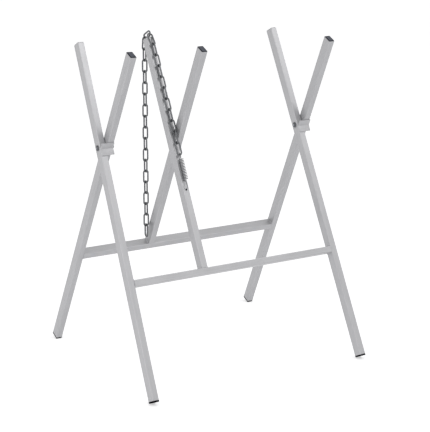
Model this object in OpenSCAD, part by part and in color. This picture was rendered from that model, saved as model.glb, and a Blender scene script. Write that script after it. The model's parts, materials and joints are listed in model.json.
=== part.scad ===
// Folding log sawhorse. Two welded frames of rectangular steel tube cross like scissors and turn
// on two bolts. Stop brackets hold the frames open, and the crossed arms above the bolts make
// three cradles in a row. A chain with a tension spring holds down what is laid in them.
// X runs along the row of cradles, -Y is the front, and Z is up from the floor.

/* [Frames] */
// Distance between the left and right legs of one frame, at the pivots
leg_spacing = 700; // [600:10:850]
// Place of the middle post, measured from the left leg
post_place = 240; // [180:10:340]
// Length of the tube from the pivot up to the arm's tip
arm_len = 320; // [300:5:380]
// Length of the leg from the pivot down to the sole of its foot
leg_len = 755; // [680:5:850]
// Distance from the pivot down to the middle of the cross rail
rail_drop = 411; // [380:1:480]
// Angle between the open frames
open_angle = 52.7; // [45:0.1:60]
// Outward lean of the end legs
splay = 1.33; // [0.5:0.01:2]
// Clear gap between the two frames at each crossing
frame_gap = 1; // [1:0.1:3]

/* [Tubes] */
// Width of the leg and post tubes, along X
tube_w = 20; // [20:1:28]
// Depth of all tubes, front to back
tube_d = 30; // [28:1:34]
// Height of the cross rails
rail_h = 20; // [18:1:30]
// Wall of the tubes
tube_wall = 1.5; // [1:0.1:2.5]
// Outer corner radius of the tubes
tube_r = 2; // [1:0.1:3]
// Radius of the weld beads at the rails and posts
weld_r = 2.6; // [1.5:0.1:4]

/* [Plugs] */
// Thickness of the plug heads at the arm tips
plug_head = 1.5; // [1:0.1:4]
// Setback of a plug head from the outside of its tube
plug_inset = 0.9; // [0.5:0.1:1.4]
// Thickness of the foot pads
foot_head = 5; // [2:0.5:12]
// Depth of a plug's stem inside the tube
plug_stem = 16; // [10:1:30]
// Thickness of a plug's grip fins
plug_fin = 1.2; // [0.8:0.1:2]
// Distance that the fins stand out from a plug's stem
fin_reach = 2; // [1:0.1:3]

/* [Pivots] */
// Diameter of the pivot bolts
bolt_d = 8; // [6:0.5:10]
// Diameter of the bolts' round heads
bolt_head_d = 17; // [15:0.5:22]
// Height of the bolts' round heads
bolt_head_h = 4.5; // [3:0.1:6]
// Width of the lock nuts across flats
nut_af = 13; // [12:0.5:17]
// Height of the lock nuts
nut_h = 8; // [6:0.5:12]
// Height of the round collar at the top of a lock nut
nut_collar_h = 1.6; // [1:0.1:2.5]
// Diameter of the round collar at the top of a lock nut
nut_collar_d = 11.2; // [10.8:0.1:11.8]
// Length of thread that shows beyond a lock nut
thread_end = 2; // [1:0.1:5]
// Diameter of the washers under the nuts
washer_d = 16; // [15:0.5:20]
// Thickness of the washers under the nuts
washer_t = 1.6; // [1:0.1:2.5]
// Diameter of the thin spacers between the tubes
spacer_d = 14; // [12:0.5:16]
// Thickness of the thin spacers between the tubes
spacer_t = 0.5; // [0.3:0.05:0.6]

/* [Stop brackets] */
// Plate thickness of the stop brackets
bracket_t = 3; // [2:0.1:4.5]
// Length of each bracket wing, from the pivot's level along the tube
bracket_wing = 28; // [24:1:40]
// Outer radius of the bracket's bend
bracket_bend = 5; // [5:0.1:8]
// Radius of the weld beads at the stop brackets
bracket_weld_r = 2; // [1:0.1:2]

/* [Chain and spring] */
// Wire diameter of the chain
chain_wire = 5; // [4:0.1:5.4]
// Outer width of a chain link
link_w = 20; // [19:0.1:20]
// Inner length of a chain link
link_in = 35; // [33:0.5:38]
// Number of links in the chain
chain_links = 30; // [26:1:31]
// Distance from the pivot down to the spring's anchor hole
anchor_drop = 161; // [140:1:175]
// Diameter of the spring's anchor hole
anchor_d = 6; // [5.6:0.1:7]
// Outer diameter of the spring
spring_d = 17; // [14:0.5:18]
// Wire diameter of the spring
spring_wire = 2; // [1.5:0.1:2.2]
// Number of the spring's turns
spring_turns = 14; // [10:1:16]
// Middle radius of the spring's lower hook
low_hook_r = 8; // [7.5:0.1:9]
// Middle radius of the spring's upper hook
high_hook_r = 6; // [5.5:0.1:7]
// Shortest distance from the anchor hole to the chain's first link
spring_min = 100; // [90:1:104]

/* [Chain catch] */
// Distance from the pivot down to the chain catch on the rear post
catch_drop = 115; // [100:1:220]
// Plate thickness of the chain catch
catch_t = 4; // [3:0.5:6]
// Reach of the chain catch, out from the post
catch_reach = 26; // [22:1:40]
// Width of the chain catch, front to back
catch_w = 25; // [20:1:28]
// Corner radius of the chain catch
catch_corner = 5; // [2:0.5:6]
// Width of the slot that a link drops into
slot_w = 6.5; // [6:0.1:8]
// Depth of the slot
slot_len = 17; // [12:0.5:20]

/* [Hidden] */

$fn = 32;
half_angle = open_angle / 2;

// Small clearances: a running fit, a loose seat, and the touch of the stop
run_fit = 0.05;
loose_fit = 0.3;
stop_gap = 0.1;
// A cut that passes right through starts this far outside
over = 1;

steel = [0.74, 0.74, 0.76];
zinc = [0.55, 0.56, 0.58];
black = [0.09, 0.1, 0.13];

// Places of the tubes. Each frame has a left leg, a right leg and a middle post.
pair_w = 2 * tube_w + frame_gap;
left_edge = -(leg_spacing + pair_w) / 2;
FRONT = 0;
REAR = 1;
LEFT = -1;
MIDDLE = 0;
RIGHT = 1;
function place(side) = side == LEFT ? 0 : side == RIGHT ? leg_spacing : post_place;
function tube_x(frame, side) = left_edge + tube_w / 2 + place(side) + frame * (tube_w + frame_gap);

// The sole's lowest corner is round, so the pivot's height follows its curve
lean_z = sin(splay) * cos(half_angle);
corner_low = (tube_d / 2 - tube_r) * sin(half_angle) + (tube_w / 2 - tube_r) * lean_z
    + tube_r * norm([sin(half_angle), lean_z]);
pivot_z = leg_len * cos(splay) * cos(half_angle) + corner_low;

// Stands children in a frame's own axes: Z up its tubes, -Y out of its front face
module in_frame(frame) {
    translate([0, 0, pivot_z])
        rotate([frame == FRONT ? -half_angle : half_angle, 0, 0])
            children();
}

// Stands children in one tube's own axes, with its outward lean
module in_tube(frame, side) {
    in_frame(frame)
        translate([tube_x(frame, side), 0, 0])
            rotate([0, -side * splay, 0])
                children();
}

module rounded_rectangle(w, d, r) {
    square([w - 2 * r, d], center = true);
    square([w, d - 2 * r], center = true);
    for (x = [-1, 1], y = [-1, 1])
        translate([x * (w / 2 - r), y * (d / 2 - r)])
            circle(r);
}

inner_r = max(tube_r - tube_wall, 0.3);
module tube_section(w, d) {
    difference() {
        rounded_rectangle(w, d, tube_r);
        rounded_rectangle(w - 2 * tube_wall, d - 2 * tube_wall, inner_r);
    }
}

// Pivot holes lie along X, straight through the leaning tube
module pivot_hole(frame, side) {
    in_frame(frame)
        translate([tube_x(frame, side), 0, 0])
            rotate([0, 90, 0])
                cylinder(d = bolt_d + 2 * run_fit, h = 2 * tube_w, center = true);
}

module leg(frame, side) {
    color(steel)
        difference() {
            in_tube(frame, side)
                translate([0, 0, foot_head - leg_len])
                    linear_extrude(arm_len + leg_len - foot_head)
                        tube_section(tube_w, tube_d);
            pivot_hole(frame, side);
        }
}

rail_top = rail_h / 2 - rail_drop;
module post(frame) {
    color(steel)
        difference() {
            in_tube(frame, MIDDLE)
                translate([0, 0, rail_top])
                    linear_extrude(arm_len - rail_top)
                        tube_section(tube_w, tube_d);
            if (frame == FRONT)
                in_tube(FRONT, MIDDLE)
                    translate([0, -tube_d / 2 - over, -anchor_drop])
                        rotate([-90, 0, 0])
                            cylinder(d = anchor_d, h = tube_wall + 2 * over);
        }
}

// All that lies beyond an end leg's inner side face, near the rail
trim_w = 4 * tube_w;
module beyond_leg(frame, side) {
    in_tube(frame, side)
        translate([side * (trim_w - tube_w) / 2, 0, -rail_drop])
            cube([trim_w, 2 * tube_d, 4 * rail_h], center = true);
}

rail_reach = rail_drop * tan(splay);
module rail(frame) {
    color(steel)
        difference() {
            in_frame(frame)
                translate([tube_x(frame, LEFT) - rail_reach, 0, -rail_drop])
                    rotate([90, 0, 90])
                        linear_extrude(leg_spacing + 2 * rail_reach)
                            tube_section(tube_d, rail_h);
            beyond_leg(frame, LEFT);
            beyond_leg(frame, RIGHT);
        }
}

// A quarter-round bead along the depth of the tubes
bead_len = tube_d - 2 * tube_r;
module bead(x, z) {
    translate([x, 0, z])
        rotate([90, 0, 0])
            cylinder(r = weld_r, h = bead_len, center = true);
}

function leg_face_x(frame, side, z) =
    tube_x(frame, side) - side * z * tan(splay) - side * tube_w / 2 / cos(splay);

module rail_space(frame) {
    in_frame(frame)
        translate([0, 0, -rail_drop])
            cube([2 * leg_spacing, 2 * tube_d, rail_h], center = true);
}

weld_cut = 4 * weld_r;
module frame_welds(frame) {
    color(zinc) {
        for (side = [LEFT, RIGHT], face = [-1, 1])
            difference() {
                in_frame(frame)
                    bead(leg_face_x(frame, side, face * rail_h / 2 - rail_drop),
                        face * rail_h / 2 - rail_drop);
                rail_space(frame);
                beyond_leg(frame, side);
            }
        for (edge = [-1, 1])
            difference() {
                in_frame(frame)
                    bead(tube_x(frame, MIDDLE) + edge * tube_w / 2, rail_top);
                rail_space(frame);
                in_frame(frame)
                    translate([tube_x(frame, MIDDLE), 0, rail_top])
                        cube([tube_w, 2 * tube_d, weld_cut], center = true);
            }
    }
}

// A plug's grip fins press lightly against the tube's inside
fin_w = tube_w - 2 * tube_wall - 2 * run_fit;
fin_d = tube_d - 2 * tube_wall - 2 * run_fit;
core_w = fin_w - 2 * fin_reach;
core_d = fin_d - 2 * fin_reach;
fin_count = 3;
fin_pitch = (plug_stem - plug_fin) / fin_count;
module plug(head, inset) {
    linear_extrude(head)
        rounded_rectangle(tube_w - 2 * inset, tube_d - 2 * inset, tube_r - inset / 2);
    translate([0, 0, -plug_stem])
        linear_extrude(plug_stem)
            rounded_rectangle(core_w, core_d, inner_r);
    for (i = [1 : fin_count])
        translate([0, 0, -i * fin_pitch])
            linear_extrude(plug_fin)
                rounded_rectangle(fin_w, fin_d, inner_r);
}

module top_plug(frame, side) {
    color(black)
        in_tube(frame, side)
            translate([0, 0, arm_len])
                plug(plug_head, plug_inset);
}

module foot(frame, side) {
    color(black)
        in_tube(frame, side)
            translate([0, 0, foot_head - leg_len])
                rotate([180, 0, 0])
                    plug(foot_head, 0);
}

// Side outline of the bent stop plate, in (y, z) from the pivot. The lower wing is welded to the
// front leg, and the rear leg rests against the upper wing.
seat_low = tube_d / 2;
seat_high = tube_d / 2 + stop_gap;
bend_y = -(seat_low + seat_high + 2 * bracket_bend) / 2 / cos(half_angle);
bend_z = (seat_low - seat_high) / 2 / sin(half_angle);
bend_steps = 6;
function wing_tip(out, up) =
    [-bracket_wing * sin(half_angle) - out * cos(half_angle),
     up * (bracket_wing * cos(half_angle) - out * sin(half_angle))];
function bend_arc(r, from) =
    [for (i = [0 : bend_steps])
        let (a = from * half_angle * (1 - 2 * i / bend_steps))
            [bend_y + r * cos(a), bend_z + r * sin(a)]];
module stop_bracket(side) {
    outline = concat(
        [wing_tip(seat_low, -1)],
        bend_arc(bracket_bend, -1),
        [wing_tip(seat_high, 1), wing_tip(seat_high + bracket_t, 1)],
        bend_arc(bracket_bend - bracket_t, 1),
        [wing_tip(seat_low + bracket_t, -1)]);
    color(steel)
        translate([left_edge + place(side), 0, pivot_z])
            rotate([90, 0, 90])
                linear_extrude(pair_w)
                    polygon(outline);
}

// Beads along the lower edge of each bracket, on the front leg's face
bracket_cut = 4 * bracket_weld_r;
module bracket_welds() {
    color(zinc)
        for (side = [LEFT, RIGHT])
            in_frame(FRONT)
                translate([tube_x(FRONT, side), 0, -bracket_wing])
                    difference() {
                        translate([0, -tube_d / 2, 0])
                            rotate([0, 90, 0])
                                cylinder(r = bracket_weld_r, h = tube_w - 2 * tube_r, center = true);
                        cube([2 * tube_w, tube_d, bracket_cut], center = true);
                        translate([0, 0, bracket_cut / 2])
                            cube([2 * tube_w, 2 * tube_d, bracket_cut], center = true);
                    }
}

// Pivot fasteners lie square to X, so each keeps clear of the leaning tube faces
function lean_room(d) = d / 2 * tan(splay) + run_fit;
head_steps = 6;
head_edge = bolt_head_h / 4;
function head_outline() = concat(
    [[0, 0], [bolt_head_d / 2, 0]],
    [for (i = [0 : head_steps])
        let (a = 90 * i / head_steps)
            [bolt_head_d / 2 * cos(a), head_edge + (bolt_head_h - head_edge) * sin(a)]]);
nut_x = pair_w + lean_room(washer_d);
shank_len = lean_room(bolt_head_d) + nut_x + washer_t + nut_h + thread_end;
module at_pivots(x) {
    for (side = [LEFT, RIGHT])
        translate([left_edge + place(side) + x, 0, pivot_z])
            rotate([0, 90, 0])
                children();
}

module pivot_bolts() {
    color(zinc)
        at_pivots(-lean_room(bolt_head_d)) {
            union() {
                rotate([180, 0, 0])
                    rotate_extrude()
                        polygon(head_outline());
                cylinder(d = bolt_d, h = shank_len);
            }
        }
}

module ring(outer, inner, thick) {
    difference() {
        cylinder(d = outer, h = thick);
        translate([0, 0, -over])
            cylinder(d = inner, h = thick + 2 * over);
    }
}

module pivot_spacers() {
    color(black)
        at_pivots(tube_w + (frame_gap - spacer_t) / 2)
            ring(spacer_d, bolt_d + 2 * run_fit, spacer_t);
}

module nut_washers() {
    color(zinc)
        at_pivots(nut_x)
            ring(washer_d, bolt_d + 2 * run_fit, washer_t);
}

module lock_nuts() {
    color(zinc)
        at_pivots(nut_x + washer_t)
            difference() {
                union() {
                    cylinder(d = nut_af / cos(30), h = nut_h - nut_collar_h, $fn = 6);
                    cylinder(d = nut_collar_d, h = nut_h);
                }
                translate([0, 0, -over])
                    cylinder(d = bolt_d + 2 * run_fit, h = nut_h + 2 * over);
            }
}

// The chain lies in the middle plane of the front post, in the frame's own (y, z). A link's turn
// is measured from straight up the post, towards the back. Links alternate: the odd ones lie flat
// over the post, and the even ones stand on edge.
link_bend = (link_w - chain_wire) / 2;
link_len = link_in + chain_wire;
link_play = link_bend - chain_wire - loose_fit;
link_pitch = link_in - loose_fit;
function along(turn) = [sin(turn), cos(turn)];
function inward(turn) = [cos(turn), -sin(turn)];
function is_flat(i) = i % 2 == 0;

// The run stands off the post's face, and the cap link stands on the plug
arm_top = arm_len + plug_head;
run_y = -tube_d / 2 - link_w / 2 - loose_fit;
cap_z = arm_top + link_w / 2 + loose_fit;
wire_room = chain_wire / 2 + loose_fit;
hang_turn = 180 - half_angle;

// The last flat link before the cap tilts until it meets the front corner
turn_step = 0.5;
lip_most = 40;
function lip_end(turn) =
    [run_y + link_play * sin(turn / 2) + link_len * sin(turn), cap_z - link_play * cos((turn + 90) / 2)];
front_corner = [-tube_d / 2, arm_top];
function lip_clear(turn) = (front_corner - lip_end(turn)) * inward(turn) >= wire_room;
lip_turn = max([for (a = [0 : turn_step : lip_most]) if (lip_clear(a)) a]);
cap_start = lip_end(lip_turn) + link_play * along((lip_turn + 90) / 2) - [link_bend, 0];

// The flat link after the cap tilts down until it meets the back corner
drop_least = 92;
function drop_start(turn) =
    cap_start + [link_len - link_bend, 0] + link_play * along((turn + 90) / 2);
back_corner = [tube_d / 2, arm_top];
function drop_clear(turn) = (back_corner - drop_start(turn)) * inward(turn) >= wire_room;
drop_turn = max([for (a = [drop_least : turn_step : hang_turn]) if (drop_clear(a)) a]);

// As many links lie along the post as leave the spring its shortest length, always an odd number
lip_z = lip_end(lip_turn)[1];
run_links = 1 + 2 * floor((lip_z + anchor_drop - spring_min) / link_pitch / 2 - 0.5);
run_turns = concat([for (i = [2 : run_links]) 0], [lip_turn, 90, drop_turn]);
turns = concat(run_turns, [for (i = [len(run_turns) : chain_links - 1]) hang_turn]);

// Start of the next link, hooked into this one with a small clearance
function next_start(start, i) =
    let (pull = along((turns[i] + turns[i + 1]) / 2))
    is_flat(i)
        ? start + link_len * along(turns[i]) + link_play * pull - link_bend * along(turns[i + 1])
        : start + (link_len - link_bend) * along(turns[i]) + link_play * pull;
raw_starts = [for (i = 0, p = [0, 0]; i < chain_links;
    p = i + 1 < chain_links ? next_start(p, i) : p, i = i + 1) p];
chain_shift = cap_start - raw_starts[run_links];
chain_starts = [for (p = raw_starts) p + chain_shift];
tail_first = run_links + 2;
tail_hinge = chain_starts[tail_first - 1] + link_len * along(drop_turn);

module chain_link() {
    for (side = [-1, 1])
        translate([side * link_bend, 0, link_bend])
            cylinder(d = chain_wire, h = link_len - 2 * link_bend);
    for (end = [0, 1])
        translate([0, 0, end == 0 ? link_bend : link_len - link_bend])
            rotate([end == 0 ? -90 : 90, 0, 0])
                rotate_extrude(angle = 180)
                    translate([link_bend, 0])
                        circle(d = chain_wire);
}

module chain_part(first, last) {
    color(zinc)
        in_tube(FRONT, MIDDLE)
            for (i = [first : last])
                translate([0, chain_starts[i][0], chain_starts[i][1]])
                    rotate([-turns[i], 0, 0])
                        rotate([0, 0, is_flat(i) ? 0 : 90])
                            chain_link();
}

// The spring's wire runs from inside the post, through the anchor hole, round the turns and
// through the chain's first link. Points are (x, y, z) in the post's own axes.
coil_r = (spring_d - spring_wire) / 2;
// The lower hook climbs by this much where it leaves the wall, just below the hole's upper edge
wall_in = tube_wall - tube_d / 2;
hook_out = wall_in - run_y - low_hook_r;
hook_climb = low_hook_r - sqrt(pow(low_hook_r, 2) - pow(hook_out, 2));
hook_lift = (anchor_d - spring_wire) / 2 - loose_fit - hook_climb;
low_z = low_hook_r - anchor_drop + hook_lift;
high_z = chain_starts[0][1] + chain_wire / 2 + spring_wire / 2 + loose_fit - high_hook_r;
coil_low = low_z + spring_d + spring_wire;
coil_high = high_z - spring_d / 2 - spring_wire;
turn_steps = 8;
coil_steps = spring_turns * turn_steps;
coil_pitch = (coil_high - coil_low) / spring_turns;
hook_steps = 8;
lead_steps = 6;
lead_pull = 2 * coil_r;
function coil_point(k) =
    let (a = 90 + 360 * k / turn_steps)
        [coil_r * cos(a), run_y + coil_r * sin(a), coil_low + coil_pitch * k / turn_steps];
function hook_point(r, z, a, up) = [0, run_y + r - r * cos(a), z + up * r * sin(a)];
// A smooth lead between a hook's straight shank and the turns
function lead(p, dp, q, dq, n) =
    [for (i = [1 : n - 1])
        let (s = i / n)
            (2 * pow(s, 3) - 3 * pow(s, 2) + 1) * p + (pow(s, 3) - 2 * pow(s, 2) + s) * dp
            + (3 * pow(s, 2) - 2 * pow(s, 3)) * q + (pow(s, 3) - pow(s, 2)) * dq];
low_hook = concat(
    [hook_point(low_hook_r, low_z, 180, -1) + [0, 0, spring_wire]],
    [for (i = [hook_steps : -1 : 0]) hook_point(low_hook_r, low_z, 180 * i / hook_steps, -1)]);
high_shift = [0, -high_hook_r, 0];
high_hook = concat(
    [for (i = [0 : hook_steps])
        hook_point(high_hook_r, high_z, 180 * i / hook_steps, 1) + high_shift],
    [hook_point(high_hook_r, high_z, 180, 1) + high_shift - [0, 0, 2 * spring_wire]]);
coil_points = [for (k = [0 : coil_steps]) coil_point(k)];
up_pull = [0, 0, lead_pull];
turn_pull = [lead_pull, 0, 0];
spring_points = concat(
    low_hook,
    lead(low_hook[len(low_hook) - 1], up_pull, coil_points[0], -turn_pull, lead_steps),
    coil_points,
    lead(coil_points[coil_steps], -turn_pull, high_hook[0], up_pull, lead_steps),
    high_hook);

function unit(v) = v / norm(v);
function path_way(p, i) = unit(p[min(i + 1, len(p) - 1)] - p[max(i - 1, 0)]);
function square_to(v, way) = unit(v - (v * way) * way);
module swept_wire(p, r, sides) {
    ways = [for (i = [0 : len(p) - 1]) path_way(p, i)];
    sides_at = [for (i = 0, n = [1, 0, 0]; i < len(p);
        i = i + 1, n = i < len(p) ? square_to(n, ways[i]) : n) square_to(n, ways[i])];
    rings = [for (i = [0 : len(p) - 1], k = [0 : sides - 1])
        let (a = 360 * k / sides)
            p[i] + r * (cos(a) * sides_at[i] + sin(a) * cross(ways[i], sides_at[i]))];
    last = (len(p) - 1) * sides;
    skin = [for (i = [0 : len(p) - 2], k = [0 : sides - 1], half = [0, 1])
        let (a = i * sides + k, b = i * sides + (k + 1) % sides)
            half == 0 ? [a, a + sides, b] : [b, a + sides, b + sides]];
    polyhedron(rings, concat(skin,
        [[for (k = [0 : sides - 1]) k]],
        [[for (k = [sides - 1 : -1 : 0]) last + k]]));
}

module tension_spring() {
    color(zinc)
        in_tube(FRONT, MIDDLE)
            swept_wire(spring_points, spring_wire / 2, 6);
}

// Least gap of the spring's wire to itself, between points at least half a turn apart
last_point = len(spring_points) - 1;
spring_gap = min([for (i = [0 : last_point], j = [i + turn_steps / 2 : 1 : last_point])
    norm(spring_points[i] - spring_points[j])]) - spring_wire;
echo(spring_gap = spring_gap, run_links = run_links, lip_turn = lip_turn, drop_turn = drop_turn);

// A flat plate with an open slot, welded to the right face of the rear post. It lies level while
// the frames are open.
module at_catch() {
    in_tube(REAR, MIDDLE)
        translate([tube_w / 2, 0, -catch_drop])
            rotate([-half_angle, 0, 0])
                children();
}

module catch_outline() {
    difference() {
        union() {
            translate([0, -catch_w / 2])
                square([catch_reach - catch_corner, catch_w]);
            translate([0, catch_corner - catch_w / 2])
                square([catch_reach, catch_w - 2 * catch_corner]);
            for (y = [-1, 1])
                translate([catch_reach - catch_corner, y * (catch_w / 2 - catch_corner)])
                    circle(catch_corner);
        }
        translate([catch_reach - slot_len + slot_w / 2, -slot_w / 2])
            square([slot_len + over, slot_w]);
        translate([catch_reach - slot_len + slot_w / 2, 0])
            circle(d = slot_w);
    }
}

module chain_catch() {
    color(steel)
        at_catch()
            linear_extrude(catch_t)
                catch_outline();
}

// Quarter-round beads above and below the catch
catch_bead_r = catch_t / 2;
catch_cut = 4 * catch_t;
module catch_welds() {
    color(zinc)
        for (face = [0, 1])
            at_catch()
                difference() {
                    translate([0, 0, face * catch_t])
                        rotate([90, 0, 0])
                            cylinder(r = catch_bead_r, h = catch_w - 2 * catch_corner, center = true);
                    translate([-catch_cut / 2, 0, 0])
                        cube([catch_cut, 2 * catch_w, catch_cut], center = true);
                    translate([0, 0, catch_t / 2])
                        cube([catch_cut, 2 * catch_w, catch_t], center = true);
                }
}

// Places that the record states, in the object's own axes
function in_world(p) =
    [tube_x(FRONT, MIDDLE), p[0] * cos(half_angle) + p[1] * sin(half_angle),
     pivot_z + p[1] * cos(half_angle) - p[0] * sin(half_angle)];
echo(pivot_z = pivot_z, tail_hinge = in_world(tail_hinge));

leg(FRONT, LEFT);  // front_left_leg
leg(FRONT, RIGHT);  // front_right_leg
post(FRONT);  // front_post
rail(FRONT);  // front_rail
leg(REAR, LEFT);  // rear_left_leg
leg(REAR, RIGHT);  // rear_right_leg
post(REAR);  // rear_post
rail(REAR);  // rear_rail
top_plug(FRONT, LEFT);  // front_left_top_plug
top_plug(FRONT, MIDDLE);  // front_post_top_plug
top_plug(FRONT, RIGHT);  // front_right_top_plug
top_plug(REAR, LEFT);  // rear_left_top_plug
top_plug(REAR, MIDDLE);  // rear_post_top_plug
top_plug(REAR, RIGHT);  // rear_right_top_plug
foot(FRONT, LEFT);  // front_left_foot
foot(FRONT, RIGHT);  // front_right_foot
foot(REAR, LEFT);  // rear_left_foot
foot(REAR, RIGHT);  // rear_right_foot
stop_bracket(LEFT);  // left_stop_bracket
stop_bracket(RIGHT);  // right_stop_bracket
pivot_bolts();
pivot_spacers();
nut_washers();
lock_nuts();
chain_catch();
tension_spring();
chain_part(0, tail_first - 1);  // chain_run
chain_part(tail_first, chain_links - 1);  // chain_tail
frame_welds(FRONT);  // front_welds
frame_welds(REAR);  // rear_welds
bracket_welds();
catch_welds();
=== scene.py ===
import json
import math

import bmesh
import bpy
import numpy as np
from mathutils import Matrix, Vector


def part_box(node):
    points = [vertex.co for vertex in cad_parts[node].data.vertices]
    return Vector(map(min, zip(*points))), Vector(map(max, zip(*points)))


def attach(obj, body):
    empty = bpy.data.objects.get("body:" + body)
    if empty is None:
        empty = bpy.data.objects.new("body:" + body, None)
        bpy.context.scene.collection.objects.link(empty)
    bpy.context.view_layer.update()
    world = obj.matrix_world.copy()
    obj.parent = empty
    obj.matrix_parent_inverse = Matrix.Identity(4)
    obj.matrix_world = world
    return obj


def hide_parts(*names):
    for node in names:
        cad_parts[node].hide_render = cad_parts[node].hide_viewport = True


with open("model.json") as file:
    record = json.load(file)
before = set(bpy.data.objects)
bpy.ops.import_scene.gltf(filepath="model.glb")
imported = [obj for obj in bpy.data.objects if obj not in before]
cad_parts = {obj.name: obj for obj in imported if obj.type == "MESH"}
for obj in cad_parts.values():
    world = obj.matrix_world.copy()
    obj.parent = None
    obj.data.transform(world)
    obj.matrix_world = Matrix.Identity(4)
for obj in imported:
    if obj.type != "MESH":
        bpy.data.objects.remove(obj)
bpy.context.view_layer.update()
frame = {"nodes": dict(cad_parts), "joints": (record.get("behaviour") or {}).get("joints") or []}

nodes = frame["nodes"]
pivot = Vector(next(j for j in frame["joints"] if j["name"] == "fold")["pos_m"])


# Camera
# It stands where the photograph was taken from: to the left of the stand, a little above its
# arms and well back, so the cradles show from outside and the rear rail shows above the front one.
PHOTO_H = 432
CAMERA_PLACE = Vector((-2.2434, -3.6485, 1.5292))
CAMERA_FORWARD = Vector((0.512754, 0.821741, -0.248648))
CAMERA_RIGHT = Vector((0.848678, -0.528906, 0.00217))
FOCAL_PIXELS = 1431.0
SENSOR_MM = 36.0

camera_data = bpy.data.cameras.new("camera")
camera = bpy.data.objects.new("camera", camera_data)
bpy.context.scene.collection.objects.link(camera)
camera_data.sensor_fit = "VERTICAL"
camera_data.sensor_height = SENSOR_MM
camera_data.lens = FOCAL_PIXELS * SENSOR_MM / PHOTO_H
camera_up = CAMERA_RIGHT.cross(CAMERA_FORWARD)
turned = Matrix((CAMERA_RIGHT, camera_up, -CAMERA_FORWARD)).transposed()
camera.matrix_world = Matrix.Translation(CAMERA_PLACE) @ turned.to_4x4()
bpy.context.scene.camera = camera
bpy.context.scene.view_settings.view_transform = "Standard"


# Studio
# A floor and a sky that stay white to the camera and in reflections, an even light from the sky,
# a large soft key high in front on the right, and a weaker fill from the left.
SKY_LEVEL = 0.58
FLOOR_GLOW = 0.475
FLOOR_SIZE = 60.0
FLOOR_ROUGH = 0.9
WHITE = (1.0, 1.0, 1.0, 1.0)
FLOOR_COLOR = (0.92, 0.92, 0.93, 1.0)
KEY_PLACE = (1.9, -2.2, 3.8)
KEY_AIM = (0.0, 0.0, 0.9)
KEY_SIZE = 1.6
KEY_WATTS = 27.0
FILL_PLACE = (-3.2, -1.2, 1.6)
FILL_SIZE = 2.0
FILL_WATTS = 18.0


def add_node(tree, kind, **values):
    """A new shader node with its settings and the values of its sockets."""
    made = tree.nodes.new(kind)
    for name, value in values.items():
        if hasattr(made, name):
            setattr(made, name, value)
        else:
            made.inputs[name.replace("_", " ")].default_value = value
    return made


def combined(tree, operation, first, second=0.0):
    """The result of a calculation on two values, each a number or another node's output."""
    made = add_node(tree, "ShaderNodeMath", operation=operation)
    for socket, value in zip(made.inputs, (first, second)):
        if isinstance(value, (int, float)):
            socket.default_value = value
        else:
            tree.links.new(value, socket)
    return made.outputs[0]


def shows_background(tree):
    """Is 1 for rays that see the background: from the camera, and in gloss and glass."""
    path = add_node(tree, "ShaderNodeLightPath").outputs
    gloss = combined(tree, "MAXIMUM", path["Is Glossy Ray"], path["Is Transmission Ray"])
    return combined(tree, "MAXIMUM", path["Is Camera Ray"], gloss)


def make_sky():
    world = bpy.data.worlds.new("studio")
    bpy.context.scene.world = world
    world.use_nodes = True
    tree = world.node_tree
    tree.nodes.clear()
    lit = add_node(tree, "ShaderNodeBackground", Color=WHITE, Strength=SKY_LEVEL)
    shown = add_node(tree, "ShaderNodeBackground", Color=WHITE, Strength=1.0)
    mix = add_node(tree, "ShaderNodeMixShader")
    tree.links.new(shows_background(tree), mix.inputs[0])
    tree.links.new(lit.outputs[0], mix.inputs[1])
    tree.links.new(shown.outputs[0], mix.inputs[2])
    out = add_node(tree, "ShaderNodeOutputWorld")
    tree.links.new(mix.outputs[0], out.inputs["Surface"])


def new_material(name):
    """A new material, its node tree and its shader."""
    material = bpy.data.materials.new(name)
    material.use_nodes = True
    return material, material.node_tree, material.node_tree.nodes["Principled BSDF"]


def make_floor():
    bpy.ops.mesh.primitive_plane_add(size=FLOOR_SIZE, location=(0.0, 0.0, 0.0))
    floor = bpy.context.object
    floor.name = "floor"
    material, tree, matt = new_material("white_floor")
    matt.inputs["Base Color"].default_value = FLOOR_COLOR
    matt.inputs["Roughness"].default_value = FLOOR_ROUGH
    matt.inputs["Emission Color"].default_value = WHITE
    glow = combined(tree, "MULTIPLY", shows_background(tree), FLOOR_GLOW)
    tree.links.new(glow, matt.inputs["Emission Strength"])
    floor.data.materials.append(material)


def add_softbox(name, place, aim, size, watts):
    light = bpy.data.lights.new(name, "AREA")
    light.shape = "DISK"
    light.size = size
    light.energy = watts
    lamp = bpy.data.objects.new(name, light)
    bpy.context.scene.collection.objects.link(lamp)
    lamp.location = place
    lamp.rotation_euler = (Vector(aim) - Vector(place)).to_track_quat("-Z", "Y").to_euler()


bpy.ops.object.select_all(action="DESELECT")
make_sky()
make_floor()
add_softbox("key", KEY_PLACE, KEY_AIM, KEY_SIZE, KEY_WATTS)
add_softbox("fill", FILL_PLACE, (0.0, 0.0, pivot.z), FILL_SIZE, FILL_WATTS)


# Leg and post tubes
# Six lengths of rectangular steel tube, 20 x 30 mm, cold formed and galvanised. The zinc is
# satin, with faint streaks along each tube and soft clouds, and a painted highlight at the corners.
TUBE_W = 0.020
TUBE_D = 0.030
HALF_ANGLE = math.radians(26.35)
SPLAY = math.radians(1.33)
SIDES = {"left_leg": -1, "post": 0, "right_leg": 1}
ZINC = (0.50, 0.50, 0.513)
ZINC_METAL = 0.5
ZINC_ROUGH = (0.38, 0.50)
ZINC_UNEVEN = 0.03
CLOUD_WAVES = (45.0, 45.0, 14.0)
STREAK_WAVES = (900.0, 900.0, 9.0)
GRAIN_WAVES = (1600.0, 1600.0, 500.0)
CLOUD_TONE = 0.045
STREAK_TONE = 0.035
GRAIN_TONE = 0.02
# Painted highlight along the tube corners: where it starts and ends, how bright, how much glossier
CORNER_HIGHLIGHT_FAR = 0.00264
CORNER_HIGHLIGHT_NEAR = 0.00096
CORNER_HIGHLIGHT_TONE = 0.05
CORNER_SHINE = 0.06
NEXT_PATTERN = 1.7


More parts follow.
